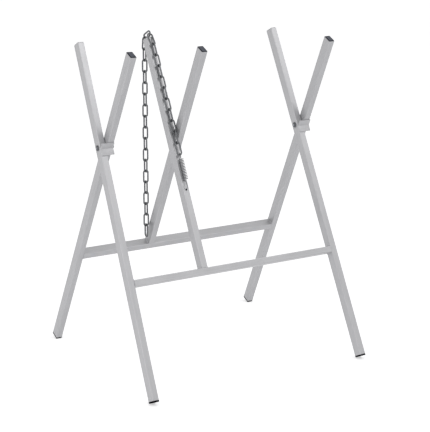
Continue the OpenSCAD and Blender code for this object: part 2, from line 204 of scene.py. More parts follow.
def noise(tree, place, waves, detail=3.0, rough=0.5):
    """Noise over a place, with so many waves a metre along each axis."""
    scaled = add_node(tree, "ShaderNodeVectorMath", operation="MULTIPLY")
    scaled.inputs[1].default_value = waves
    tree.links.new(place, scaled.inputs[0])
    made = add_node(tree, "ShaderNodeTexNoise", Scale=1.0, Detail=detail, Roughness=rough)
    tree.links.new(scaled.outputs[0], made.inputs["Vector"])
    return made.outputs["Fac"]


def ranged(tree, value, low, high, to_low, to_high):
    """A value between low and high, carried over to between two others."""
    made = add_node(tree, "ShaderNodeMapRange")
    limits = (("From Min", low), ("From Max", high), ("To Min", to_low), ("To Max", to_high))
    for name, number in limits:
        made.inputs[name].default_value = number
    tree.links.new(value, made.inputs["Value"])
    return made.outputs["Result"]


def spread(tree, pattern, to_low, to_high):
    """A noise, most of which lies between 0.3 and 0.7, spread between two values."""
    return ranged(tree, pattern, 0.3, 0.7, to_low, to_high)


def own_place(tree, pose):
    """The place in a piece's own axes, from the axes that its mesh is in."""
    coords = add_node(tree, "ShaderNodeTexCoord")
    back = pose.inverted()
    mapping = add_node(tree, "ShaderNodeMapping")
    mapping.inputs["Rotation"].default_value = back.to_euler("XYZ")
    mapping.inputs["Location"].default_value = back.translation
    tree.links.new(coords.outputs["Object"], mapping.inputs["Vector"])
    return mapping.outputs[0]


def shaded(tree, color, tone):
    """A colour made lighter or darker by a tone around 1."""
    made = add_node(tree, "ShaderNodeHueSaturation", Color=(*color, 1.0))
    tree.links.new(tone, made.inputs["Value"])
    return made.outputs[0]


def bumped(tree, height, strength, distance):
    made = add_node(tree, "ShaderNodeBump", Strength=strength, Distance=distance)
    tree.links.new(height, made.inputs["Height"])
    return made.outputs[0]


def galvanised(name, pose, shift):
    """Satin zinc on a tube: pose is the tube's place, with Z along it, and shift moves the pattern."""
    material, tree, steel = new_material(name)
    place = own_place(tree, pose)
    moved = add_node(tree, "ShaderNodeVectorMath", operation="ADD")
    moved.inputs[1].default_value = (0.0, 0.0, shift)
    tree.links.new(place, moved.inputs[0])
    clouds = noise(tree, moved.outputs[0], CLOUD_WAVES, detail=4.0)
    streaks = noise(tree, moved.outputs[0], STREAK_WAVES, detail=2.0)
    grain = noise(tree, moved.outputs[0], GRAIN_WAVES, detail=2.0)
    # Painted highlight, a little glossier, near both an outer side face and an outer front or back
    # face
    axes = add_node(tree, "ShaderNodeSeparateXYZ")
    tree.links.new(place, axes.inputs[0])
    near_side = combined(tree, "SUBTRACT", combined(tree, "ABSOLUTE", axes.outputs["X"]), TUBE_W / 2)
    near_face = combined(tree, "SUBTRACT", combined(tree, "ABSOLUTE", axes.outputs["Y"]), TUBE_D / 2)
    nearness = combined(tree, "ADD", near_side, near_face)
    corner_highlight = ranged(tree, nearness, -CORNER_HIGHLIGHT_FAR, -CORNER_HIGHLIGHT_NEAR, 0.0, 1.0)
    patchy_highlight = combined(tree, "MULTIPLY", corner_highlight, ranged(tree, clouds, 0.35, 0.65, 0.2, 1.0))
    tone = combined(tree, "ADD", spread(tree, clouds, 1.0 - CLOUD_TONE, 1.0 + CLOUD_TONE),
                    spread(tree, streaks, -STREAK_TONE, STREAK_TONE))
    tone = combined(tree, "ADD", tone, spread(tree, grain, -GRAIN_TONE, GRAIN_TONE))
    tone = combined(tree, "ADD", tone, combined(tree, "MULTIPLY", patchy_highlight, CORNER_HIGHLIGHT_TONE))
    tree.links.new(shaded(tree, ZINC, tone), steel.inputs["Base Color"])
    rough = combined(tree, "ADD", spread(tree, clouds, *ZINC_ROUGH),
                     spread(tree, grain, -ZINC_UNEVEN, ZINC_UNEVEN))
    rough = combined(tree, "SUBTRACT", rough, combined(tree, "MULTIPLY", patchy_highlight, CORNER_SHINE))
    tree.links.new(rough, steel.inputs["Roughness"])
    steel.inputs["Metallic"].default_value = ZINC_METAL
    relief = combined(tree, "ADD", streaks, grain)
    tree.links.new(bumped(tree, relief, strength=0.25, distance=0.00012), steel.inputs["Normal"])
    return material


def frame_pose(name):
    """The axes of the front or the rear frame at the pivots, with Z up its tubes."""
    angle = -HALF_ANGLE if name == "front" else HALF_ANGLE
    return Matrix.Translation(pivot) @ Matrix.Rotation(angle, 4, "X")


def box_in(node, pose):
    """A CAD node's lowest and highest corner in the axes of a pose."""
    back = pose.inverted()
    corners = np.array([back @ v.co for v in nodes[node].data.vertices])
    return Vector(corners.min(0)), Vector(corners.max(0))


def tube_pose(node, side):
    """A tube's own axes: side is -1 for a left leg, 0 for a post and 1 for a right leg."""
    axes = frame_pose(node.split("_")[0])
    low, high = box_in(node, axes)
    across = (low.x + high.x) / 2
    if side:
        # A leg leans about its pivot, so its place there is worked back from its lower, outer corner
        length = -(low.z + TUBE_W / 2 * math.sin(SPLAY)) / math.cos(SPLAY)
        end_x = low.x if side < 0 else high.x
        across = end_x - side * (TUBE_W / 2 * math.cos(SPLAY) + length * math.sin(SPLAY))
    lean = Matrix.Rotation(-side * SPLAY, 4, "Y")
    return axes @ Matrix.Translation((across, 0, 0)) @ lean


def finish_node(node, material):
    nodes[node].data.materials.clear()
    nodes[node].data.materials.append(material)


tube_poses = {}
for name in ("front", "rear"):
    for part, side in SIDES.items():
        node = name + "_" + part
        tube_poses[node] = tube_pose(node, side)
        shift = len(tube_poses) * NEXT_PATTERN
        finish_node(node, galvanised("zinc_" + node, tube_poses[node], shift))


# Cross rails
# The same tube laid flat between the legs of each frame, 411 mm below the pivots. The rail
# carries the frame's middle post, and its ends are cut to the legs' lean and welded.
RAIL_PATTERNS = {"front": 20.0, "rear": 23.0}

for name, shift in RAIL_PATTERNS.items():
    rail_low, rail_high = box_in(name + "_rail", frame_pose(name))
    centre = Matrix.Translation((0.0, 0.0, (rail_low.z + rail_high.z) / 2))
    rail_pose = frame_pose(name) @ centre @ Matrix.Rotation(math.radians(90.0), 4, "Y")
    finish_node(name + "_rail", galvanised("zinc_" + name + "_rail", rail_pose, shift))


# Top plugs
# Black moulded plugs close the six arm tips, each a little smaller than its tube, so a rim of
# metal shows round it. The head has a smooth border round a grained panel, painted lighter so that
# the border reads as painted shade, and three fins on its stem grip the inside of the tube.
PLUG_HEAD = 0.0015
PLUG_CROWN = 0.0004
PLUG_CORNER = 0.00155
CROWN_STEPS = ((0.00012, 0.38), (0.0004, 0.32), (0.0012, 0.18), (0.0030, 0.12))
FINS = 3
FIN = 0.0012
FIN_REACH = 0.002
FIN_GAP = 0.0001
TUBE_WALL = 0.0015
PLASTIC = (0.014, 0.016, 0.024)
# The panel's colour, lighter than the border's, so that the border reads as painted shade
PAINTED_LIGHT_PANEL = (0.072, 0.078, 0.100)
PLASTIC_GRAIN = (2600.0, 2600.0, 2600.0)
DUST_WAVES = (220.0, 220.0, 220.0)
DUST_ROUGH = 0.18


def pick(kind, test):
    """In edit mode, selects the faces, edges or corners whose place and direction pass a test."""
    shape = bmesh.from_edit_mesh(bpy.context.edit_object.data)
    modes = {"verts": "VERT", "edges": "EDGE", "faces": "FACE"}
    bpy.ops.mesh.select_mode(type=modes[kind])
    bpy.ops.mesh.select_all(action="DESELECT")
    for item in getattr(shape, kind):
        if kind == "faces":
            place, way = item.calc_center_median(), item.normal
        elif kind == "edges":
            ends = [v.co for v in item.verts]
            place, way = (ends[0] + ends[1]) / 2, (ends[1] - ends[0]).normalized()
        else:
            place, way = item.co, item.normal
        if test(place, way):
            item.select_set(True)
    shape.select_flush_mode()
    bmesh.update_edit_mesh(bpy.context.edit_object.data)


def push(x=0.0, y=0.0, z=0.0):
    bpy.ops.transform.translate(value=(x, y, z))


def draw_out(x=0.0, y=0.0, z=0.0):
    bpy.ops.mesh.extrude_region_move(TRANSFORM_OT_translate={"value": (x, y, z)})


def add_block(width, depth, height, middle):
    """A block to shape, left in edit mode."""
    bpy.ops.object.select_all(action="DESELECT")
    bpy.ops.mesh.primitive_cube_add(size=1.0, location=middle)
    block = bpy.context.object
    block.scale = (width, depth, height)
    bpy.ops.object.transform_apply(location=True, rotation=False, scale=True)
    bpy.ops.object.mode_set(mode="EDIT")
    return block


def activate(piece):
    """Leaves edit mode, with this piece alone selected."""
    if bpy.context.mode != "OBJECT":
        bpy.ops.object.mode_set(mode="OBJECT")
    bpy.ops.object.select_all(action="DESELECT")
    piece.select_set(True)
    bpy.context.view_layer.objects.active = piece


def settle(piece, name, pose, smooth=35.0):
    """Ends the shaping of a piece: names it and turns its mesh into its place on the object."""
    activate(piece)
    bpy.ops.object.shade_smooth_by_angle(angle=math.radians(smooth))
    piece.name = name
    piece.data.name = name
    piece.data.transform(pose @ piece.matrix_basis)
    piece.matrix_basis = Matrix.Identity(4)
    return piece


def dress(piece, body, slot, material, *stands_for):
    """Gives a piece its material, the body that it moves with and the nodes that it shows."""
    piece.data.materials.clear()
    piece.data.materials.append(material)
    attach(piece, body)
    if stands_for:
        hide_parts(*stands_for)


def copy_of(piece, name, pose):
    """A copy with a mesh of its own, moved by a pose."""
    made = piece.copy()
    made.data = piece.data.copy()
    bpy.context.scene.collection.objects.link(made)
    made.name = name
    made.data.name = name
    made.data.transform(pose)
    return made


def moulded_plastic(name, color, rough, shine=0.35):
    """Black plastic with a fine moulded grain, a trace of dust and slightly uneven gloss."""
    material, tree, plastic = new_material(name)
    place = add_node(tree, "ShaderNodeTexCoord").outputs["Object"]
    grain = noise(tree, place, PLASTIC_GRAIN, detail=2.0)
    dust = noise(tree, place, DUST_WAVES, detail=5.0, rough=0.65)
    tone = combined(tree, "ADD", ranged(tree, dust, 0.35, 0.75, 0.9, 1.35),
                    spread(tree, grain, -0.06, 0.06))
    tree.links.new(shaded(tree, color, tone), plastic.inputs["Base Color"])
    uneven = ranged(tree, dust, 0.35, 0.75, rough, rough + DUST_ROUGH)
    tree.links.new(uneven, plastic.inputs["Roughness"])
    plastic.inputs["Specular IOR Level"].default_value = shine
    tree.links.new(bumped(tree, grain, strength=0.35, distance=0.00006), plastic.inputs["Normal"])
    return material


def ring_to(width, depth, new_width, new_depth):
    """Adds a ring of faces in the level of the selected face, out or in to a new width and depth."""
    draw_out()
    bpy.ops.transform.resize(value=(new_width / width, new_depth / depth, 1.0))


def moulded_plug(width, depth, head, corner, crown, stem):
    """A plug whose head stands on z = 0, with its finned stem below, left in edit mode."""
    plug = add_block(width, depth, head - crown, (0.0, 0.0, (head - crown) / 2))
    pick("edges", lambda place, way: abs(way.z) > 0.9)
    bpy.ops.mesh.bevel(offset=corner, segments=6, affect="EDGES")
    # The crown rises in steps from a rounded rim, each by its share of the height
    pick("faces", lambda place, way: way.z > 0.9)
    now = 0.0
    for inset, share in CROWN_STEPS:
        ring_to(width - 2 * now, depth - 2 * now, width - 2 * inset, depth - 2 * inset)
        push(z=share * crown)
        now = inset
    grip_w = TUBE_W - 2 * TUBE_WALL - FIN_GAP
    grip_d = TUBE_D - 2 * TUBE_WALL - FIN_GAP
    core_w = grip_w - 2 * FIN_REACH
    core_d = grip_d - 2 * FIN_REACH
    pick("faces", lambda place, way: way.z < -0.9)
    ring_to(width, depth, core_w, core_d)
    pitch = (stem - FIN) / FINS
    depth_now = 0.0
    for fin in range(1, FINS + 1):
        draw_out(z=-(fin * pitch - FIN - depth_now))
        ring_to(core_w, core_d, grip_w, grip_d)
        draw_out(z=-FIN)
        ring_to(grip_w, grip_d, core_w, core_d)
        depth_now = fin * pitch
    draw_out(z=-(stem - depth_now))
    return plug


plug_plastic = moulded_plastic("plug_plastic", PLASTIC, rough=0.42, shine=0.18)
panel_plastic = moulded_plastic("panel_plastic", PAINTED_LIGHT_PANEL, rough=0.52)
tip_low, tip_high = box_in("front_post_top_plug", tube_poses["front_post"])
top_plug = moulded_plug(tip_high.x - tip_low.x, tip_high.y - tip_low.y, PLUG_HEAD, PLUG_CORNER,
                        PLUG_CROWN, tip_high.z - PLUG_HEAD - tip_low.z)
settle(top_plug, "plug_pattern", Matrix.Translation((0.0, 0.0, tip_high.z - PLUG_HEAD)))
panel_face = max(top_plug.data.polygons, key=lambda face: face.area * face.normal.z).index
for node, pose in tube_poses.items():
    tube = node.replace("_leg", "")
    plug = copy_of(top_plug, tube + "_tip_cap", pose)
    dress(plug, node.split("_")[0] + "_frame", "black_plastic", plug_plastic, tube + "_top_plug")
    # The lighter panel on each head; the darker border round it is painted shade
    plug.data.materials.append(panel_plastic)
    plug.data.polygons[panel_face].material_index = 1
bpy.data.objects.remove(top_plug)


# Foot pads
# Black moulded caps under the four legs, as wide as the tube. Their soles are cut square to the
# leg, so each stands on its inner lower edge, and the rim is rounded where it meets the ground.
PAD = 0.005
PAD_CORNER = 0.002
PAD_RIM = 0.0005
PAD_PLASTIC = (0.006, 0.006, 0.008)

pad_plastic = moulded_plastic("pad_plastic", PAD_PLASTIC, rough=0.78, shine=0.03)
pad_low, pad_high = box_in("front_left_foot", tube_poses["front_left_leg"])
foot_pad = moulded_plug(TUBE_W, TUBE_D, PAD, PAD_CORNER, PAD_RIM, pad_high.z - pad_low.z - PAD)
upside_down = Matrix.Rotation(math.radians(180.0), 4, "X")
settle(foot_pad, "pad_pattern", Matrix.Translation((0.0, 0.0, pad_low.z + PAD)) @ upside_down)
for name in ("front", "rear"):
    for side in ("left", "right"):
        corner = name + "_" + side
        pad = copy_of(foot_pad, corner + "_pad", tube_poses[corner + "_leg"])
        dress(pad, name + "_frame", "black_plastic", pad_plastic, corner + "_foot")
bpy.data.objects.remove(foot_pad)


# Stop brackets
# A bent strip of 3 mm plate at each pivot, as wide as both tubes. Its lower wing is welded to
# the front leg, and the rear leg comes to rest against its upper wing when the frames are open.
BRACKET_T = 0.003
BRACKET_WING = 0.028
BRACKET_BEND = 0.005
BRACKET_EDGE = 0.0004
BEND_STEPS = 12
STOP_GAP = 0.0001
COAT_CLOUDS = (160.0, 160.0, 160.0)
COAT_GRAIN = (3000.0, 3000.0, 3000.0)


def zinc_coat(name, color, rough, metal, wear):
    """Zinc on a small part: fine clouds in its colour and gloss, and a fine grain."""
    material, tree, steel = new_material(name)
    place = add_node(tree, "ShaderNodeTexCoord").outputs["Object"]
    clouds = noise(tree, place, COAT_CLOUDS, detail=5.0, rough=0.6)
    grain = noise(tree, place, COAT_GRAIN, detail=2.0)
    tone = combined(tree, "ADD", spread(tree, clouds, 1.0 - wear, 1.0 + wear),
                    spread(tree, grain, -0.05, 0.05))
    tree.links.new(shaded(tree, color, tone), steel.inputs["Base Color"])
    tree.links.new(spread(tree, clouds, *rough), steel.inputs["Roughness"])
    steel.inputs["Metallic"].default_value = metal
    tree.links.new(bumped(tree, grain, strength=0.2, distance=0.00005), steel.inputs["Normal"])
    return material


def round_edges(piece, width, sharper_than):
    """Rounds the edges of a piece that are sharper than an angle."""
    activate(piece)
    edge = piece.modifiers.new("edge", "BEVEL")
    edge.width = width
    edge.segments = 3
    edge.limit_method = "ANGLE"
    edge.angle_limit = math.radians(sharper_than)
    bpy.ops.object.modifier_apply(modifier="edge")


def bent_strip(width):
    """The plate's inner sheet, drawn along both seats and rounded at the bend, then thickened."""
    bpy.ops.object.select_all(action="DESELECT")
    bpy.ops.mesh.primitive_plane_add(size=1.0)
    strip = bpy.context.object
    seat_low = TUBE_D / 2
    seat_high = seat_low + STOP_GAP
    sine, cosine = math.sin(HALF_ANGLE), math.cos(HALF_ANGLE)
    corner = Vector((0.0, -(seat_low + seat_high) / 2 / cosine, (seat_low - seat_high) / 2 / sine))
    lower = Vector((0.0, -BRACKET_WING * sine - seat_low * cosine,
                    -BRACKET_WING * cosine + seat_low * sine))
    upper = Vector((0.0, -BRACKET_WING * sine - seat_high * cosine,
                    BRACKET_WING * cosine - seat_high * sine))
    ends = sorted(strip.data.vertices, key=lambda v: (v.co.y, v.co.x))
    for end, x, place in zip(ends, (0.0, width) * 2, (lower, lower, corner, corner)):
        end.co = place + Vector((x, 0.0, 0.0))

    def at_bend(place, way):
        return abs(way.x) > 0.9 and (place - corner).yz.length < 1e-5

    bpy.ops.object.mode_set(mode="EDIT")
    pick("edges", at_bend)
    step = upper - corner
    draw_out(y=step.y, z=step.z)
    pick("edges", at_bend)
    bpy.ops.mesh.bevel(offset=BRACKET_BEND * math.tan(HALF_ANGLE), segments=BEND_STEPS, affect="EDGES")
    bpy.ops.mesh.select_all(action="SELECT")
    bpy.ops.mesh.normals_make_consistent(inside=False)
    bpy.ops.object.mode_set(mode="OBJECT")
    plate = strip.modifiers.new("plate", "SOLIDIFY")
    plate.thickness = BRACKET_T
    plate.use_even_offset = True
    faces_front = sum(f.normal.y for f in strip.data.polygons) < 0
    plate.offset = 1.0 if faces_front else -1.0
    bpy.ops.object.modifier_apply(modifier="plate")
    round_edges(strip, BRACKET_EDGE, sharper_than=50.0)
    return strip


bracket_zinc = zinc_coat("bracket_zinc", ZINC, ZINC_ROUGH, metal=ZINC_METAL, wear=0.06)
low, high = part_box("left_stop_bracket")
bracket_pattern = settle(bent_strip(high.x - low.x), "bracket_pattern", Matrix.Translation(pivot))
for side in ("left", "right"):
    low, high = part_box(side + "_stop_bracket")
    bracket = copy_of(bracket_pattern, side + "_stop_plate", Matrix.Translation((low.x, 0.0, 0.0)))
    dress(bracket, "front_frame", "galvanised_steel", bracket_zinc, side + "_stop_bracket")
bpy.data.objects.remove(bracket_pattern)


# Pivot bolts
# One M8 bolt with a low round head through each crossing, head to the left. The crown of the head
# has a painted highlight inside a rim of darker zinc that is painted shade, and the thread ends a
# little beyond the nut.
BOLT_D = 0.008
BOLT_HEAD_D = 0.017
BOLT_HEAD_H = 0.0045
BOLT_HEAD_RIM = 0.0011
BOLT_HEAD_EDGE = 0.0003
DOME_STEPS = 10
THREAD_PITCH = 0.00125
THREAD_DEPTH = 0.0007
THREAD_LENGTH = 0.016
THREAD_SHAPE = ((THREAD_DEPTH, 0.55), (0.0, 0.90), (0.0, 1.10))
TIP_LENGTH = 0.0008
TIP_DEPTH = 0.0009
BOLT_ZINC = (0.17, 0.175, 0.19)
# Darker than the bolt zinc, so the head's rim is painted shade round its painted highlight
SHADED_HEAD_ZINC = (0.12, 0.124, 0.134)
BOLT_METAL = 0.95
BOLT_ROUGH = (0.20, 0.32)
# The painted highlight on the bolt head: full inside CROWN_R, fading out by RIM_R
CROWN_R = 0.0012
RIM_R = 0.0040
CROWN_HIGHLIGHT = 3.0


def close_up():
    """In edit mode, merges the corners that meet and turns all faces outwards."""
    bpy.ops.mesh.select_all(action="SELECT")
    bpy.ops.mesh.remove_doubles(threshold=1e-6)
    bpy.ops.mesh.normals_make_consistent(inside=False)


def turned_piece(profile, steps=48, closed=False):
    """A piece turned on a lathe about Z, from a profile of (radius, height), left in edit mode."""
    bpy.ops.object.select_all(action="DESELECT")
    bpy.ops.mesh.primitive_plane_add(size=0.001)
    piece = bpy.context.object
    bpy.ops.object.mode_set(mode="EDIT")
    bpy.ops.mesh.select_mode(type="VERT")
    bpy.ops.mesh.select_all(action="SELECT")
    bpy.ops.mesh.merge(type="CENTER")
    radius, height = profile[0]
    push(x=radius, z=height)
    for next_radius, next_height in profile[1:]:
        draw_out(x=next_radius - radius, z=next_height - height)
        radius, height = next_radius, next_height
    if closed:
        draw_out(x=profile[0][0] - radius, z=profile[0][1] - height)
    bpy.ops.mesh.select_all(action="SELECT")
    bpy.ops.mesh.remove_doubles(threshold=1e-6)
    bpy.ops.mesh.select_all(action="SELECT")
    bpy.ops.mesh.spin(steps=steps, angle=math.radians(360.0), center=(0, 0, 0), axis=(0, 0, 1))
    close_up()
    return piece


def bolt_profile(length):
    """From the top of the head round its dome and rim, along the shank and the thread to the tip."""
    head_r, shank_r = BOLT_HEAD_D / 2, BOLT_D / 2
    dome = []
    for step in range(DOME_STEPS + 1):
        angle = math.radians(90.0 * step / DOME_STEPS)
        rise = BOLT_HEAD_RIM + (BOLT_HEAD_H - BOLT_HEAD_RIM) * math.cos(angle)
        dome.append((head_r * math.sin(angle), -rise))
    under = [(head_r, -BOLT_HEAD_EDGE), (head_r - BOLT_HEAD_EDGE, 0.0), (shank_r, 0.0)]
    start = length - THREAD_LENGTH
    thread = [(shank_r, start)]
    for turn in range(int(THREAD_LENGTH / THREAD_PITCH) - 1):
        for depth, part in THREAD_SHAPE:
            thread.append((shank_r - depth, start + (turn + part) * THREAD_PITCH))
    tip = [(shank_r, length - TIP_LENGTH), (shank_r - TIP_DEPTH, length), (0.0, length)]
    return dome + under + thread + tip


def solids(node):
    """The corners of each separate solid of a CAD node."""
    shape = bmesh.new()
    shape.from_mesh(nodes[node].data)
    bmesh.ops.remove_doubles(shape, verts=shape.verts, dist=1e-6)
    left = set(shape.verts)
    found = []
    for first in list(shape.verts):
        if first not in left:
            continue
        left.discard(first)
        group = [first]
        for vert in group:
            for edge in vert.link_edges:
                other = edge.other_vert(vert)
                if other in left:
                    left.discard(other)
                    group.append(other)
        found.append(np.array([vert.co for vert in group]))
    shape.free()
    return found


def left_and_right(node):
    """The length along X of a node's two like solids, and the lowest x of the left and right one."""
    pair = sorted(solids(node), key=lambda corners: corners[:, 0].min())
    starts = {side: corners[:, 0].min() for side, corners in zip(("left", "right"), pair)}
    return np.ptp(pair[0][:, 0]), starts


def paint_crown_highlight(material, light):
    """Paints a highlight on a zinc piece on the pivot axis, lighter towards the axis by up to that
    factor.
    """
    tree = material.node_tree
    place = add_node(tree, "ShaderNodeTexCoord").outputs["Object"]
    off_axis = add_node(tree, "ShaderNodeVectorMath", operation="SUBTRACT")
    off_axis.inputs[1].default_value = pivot
    tree.links.new(place, off_axis.inputs[0])
    flat = add_node(tree, "ShaderNodeVectorMath", operation="MULTIPLY")
    flat.inputs[1].default_value = (0.0, 1.0, 1.0)
    tree.links.new(off_axis.outputs[0], flat.inputs[0])
    radius = add_node(tree, "ShaderNodeVectorMath", operation="LENGTH")
    tree.links.new(flat.outputs[0], radius.inputs[0])
    painted_highlight = ranged(tree, radius.outputs["Value"], CROWN_R, RIM_R, light, 1.0)
    shade = next(n for n in tree.nodes if n.type == "HUE_SAT")
    tone = shade.inputs["Value"].links[0].from_socket
    tree.links.new(combined(tree, "MULTIPLY", tone, painted_highlight), shade.inputs["Value"])


def on_axis(x):
    """A place on the pivot axis."""
    return Matrix.Translation((x, pivot.y, pivot.z))


along_x = Matrix.Rotation(math.radians(90.0), 4, "Y")
bolt_zinc = zinc_coat("bolt_zinc", BOLT_ZINC, BOLT_ROUGH, metal=BOLT_METAL, wear=0.15)
head_zinc = zinc_coat("head_zinc", SHADED_HEAD_ZINC, BOLT_ROUGH, metal=BOLT_METAL, wear=0.12)
# A painted highlight on the head's crown, inside a rim of painted shade
paint_crown_highlight(head_zinc, CROWN_HIGHLIGHT)
bolt_length, bolt_starts = left_and_right("pivot_bolts")
bolt_pattern = turned_piece(bolt_profile(bolt_length - BOLT_HEAD_H))
settle(bolt_pattern, "bolt_pattern", along_x, smooth=30.0)
for side, low_x in bolt_starts.items():
    bolt = copy_of(bolt_pattern, side + "_pivot_bolt", on_axis(low_x + BOLT_HEAD_H))
    dress(bolt, "front_frame", "zinc_plated", head_zinc, "pivot_bolts")
bpy.data.objects.remove(bolt_pattern)


# Washers
# A plain stamped M8 washer under each nut, zinc plated, with its edges just broken.
BORE_D = 0.0081
WASHER_D = 0.016
WASHER_EDGE = 0.0002


def flat_ring(inner, outer, thick, edge):
    """The profile of a flat ring with broken edges, standing on z = 0."""
    return [(inner, 0.0), (outer - edge, 0.0), (outer, edge), (outer, thick - edge),
            (outer - edge, thick), (inner + edge, thick), (inner, thick - edge)]


washer_t, washer_starts = left_and_right("nut_washers")
washer_ring = flat_ring(BORE_D / 2, WASHER_D / 2, washer_t, WASHER_EDGE)
washer_pattern = settle(turned_piece(washer_ring, steps=64, closed=True), "washer_pattern", along_x)
for side, low_x in washer_starts.items():
    washer = copy_of(washer_pattern, side + "_nut_washer", on_axis(low_x))
    dress(washer, "front_frame", "zinc_plated", bolt_zinc, "nut_washers")
bpy.data.objects.remove(washer_pattern)


# Spacers
# A thin black plastic ring on each bolt keeps the two frames from rubbing. Both hide between the
# tubes, so their CAD shapes stay and only take the plastic's look.
finish_node("pivot_spacers", plug_plastic)


# Lock nuts
# An M8 lock nut at the right of each crossing: a hexagon with turned chamfers, and a collar
# rolled in over a black nylon ring. It is zinc plated as the bolt is.
NUT_FLATS = 0.013
NUT_FACE = 0.96
NUT_HEX_H = 0.0064
NUT_BORE_EDGE = 0.0004
BLANK_SPARE = 0.0002
COLLAR_D = 0.0112
COLLAR_ROOT = 0.0003
COLLAR_ROLL = ((0.0, 0.0007), (0.0003, 0.0002), (0.0007, 0.0))
MOUTH_R = 0.0046
MOUTH_EDGE = 0.0002
NYLON_T = 0.0006
NYLON_DEPTH = 0.0009
NYLON_EDGE = 0.0001
NYLON_BORE_GAP = 0.00003
NYLON_RIM_GAP = 0.00002


def cut_with(piece, cutter, operation):
    """Cuts a piece with another one, or keeps what they share, and removes the cutter."""
    activate(piece)
    cut = piece.modifiers.new("cut", "BOOLEAN")
    cut.operation = operation
    cut.object = cutter
    bpy.ops.object.modifier_apply(modifier="cut")
    bpy.data.objects.remove(cutter)


def turned_nut(height):
    """A nut standing on z = 0: a turned blank with bore and collar, cut to a hexagon."""
    bore_r, collar_r = BORE_D / 2, COLLAR_D / 2
    corner_r = NUT_FLATS / 2 / math.cos(math.radians(30.0))
    face_r = NUT_FLATS / 2 * NUT_FACE
    blank_r = corner_r + BLANK_SPARE
    drop = (blank_r - face_r) * math.tan(math.radians(30.0))
    nylon_seat = height - NYLON_DEPTH - NYLON_T
    hexagon_part = [(bore_r + NUT_BORE_EDGE, 0.0), (face_r, 0.0), (blank_r, drop),
                    (blank_r, NUT_HEX_H - drop), (face_r, NUT_HEX_H)]
    collar = [(collar_r + COLLAR_ROOT, NUT_HEX_H), (collar_r, NUT_HEX_H + COLLAR_ROOT)]
    collar += [(collar_r - inward, height - down) for inward, down in COLLAR_ROLL]
    mouth = [(MOUTH_R + MOUTH_EDGE, height), (MOUTH_R, height - MOUTH_EDGE), (MOUTH_R, nylon_seat),
             (bore_r, nylon_seat - NUT_BORE_EDGE), (bore_r, NUT_BORE_EDGE)]
    blank = turned_piece(hexagon_part + collar + mouth, steps=96, closed=True)
    bpy.ops.object.mode_set(mode="OBJECT")
    bpy.ops.object.select_all(action="DESELECT")
    bpy.ops.mesh.primitive_cylinder_add(vertices=6, radius=corner_r, depth=4 * height)
    hexagon = bpy.context.object
    hexagon.rotation_euler.z = math.radians(30.0)
    cut_with(blank, hexagon, "INTERSECT")
    return blank


nut_h, nut_starts = left_and_right("lock_nuts")
nut_pattern = settle(turned_nut(nut_h), "nut_pattern", along_x, smooth=25.0)
nylon_ring = flat_ring(BOLT_D / 2 + NYLON_BORE_GAP, MOUTH_R - NYLON_RIM_GAP, NYLON_T, NYLON_EDGE)
nylon_place = Matrix.Translation((0.0, 0.0, nut_h - NYLON_DEPTH - NYLON_T / 2))
nylon_pattern = turned_piece(nylon_ring, steps=64, closed=True)
settle(nylon_pattern, "nylon_pattern", along_x @ nylon_place)
for side, low_x in nut_starts.items():
    nut = copy_of(nut_pattern, side + "_lock_nut", on_axis(low_x))
    dress(nut, "front_frame", "zinc_plated", bolt_zinc, "lock_nuts")
    nylon = copy_of(nylon_pattern, side + "_nylon_ring", on_axis(low_x))
    dress(nylon, "front_frame", "black_plastic", plug_plastic, "lock_nuts")
bpy.data.objects.remove(nut_pattern)
bpy.data.objects.remove(nylon_pattern)


# Chain
# Thirty welded links of 5 mm steel wire, 35 mm long inside. Each link was bent from one piece of
# wire and butt welded in the middle of a long side, where a small burr is left round the wire.
CHAIN_WIRE = 0.005
LINK_W = 0.020
LINK_IN = 0.035
RING_STEPS = 32
WIRE_SIDES = 20
SIDE_LEVELS = (0.006, 0.0016, 0.0011, 0.0007, 0.0004, 0.0)
BURR = 0.0002
BURR_STEPS = ((0.0012, 0.35), (0.0008, 0.3), (0.00045, 0.35))
CHAIN_ZINC = (0.145, 0.149, 0.156)
CHAIN_METAL = 0.9
CHAIN_ROUGH = (0.24, 0.38)
STAIN_WAVES = (70.0, 70.0, 70.0)
PORE_WAVES = (1500.0, 1500.0, 1500.0)


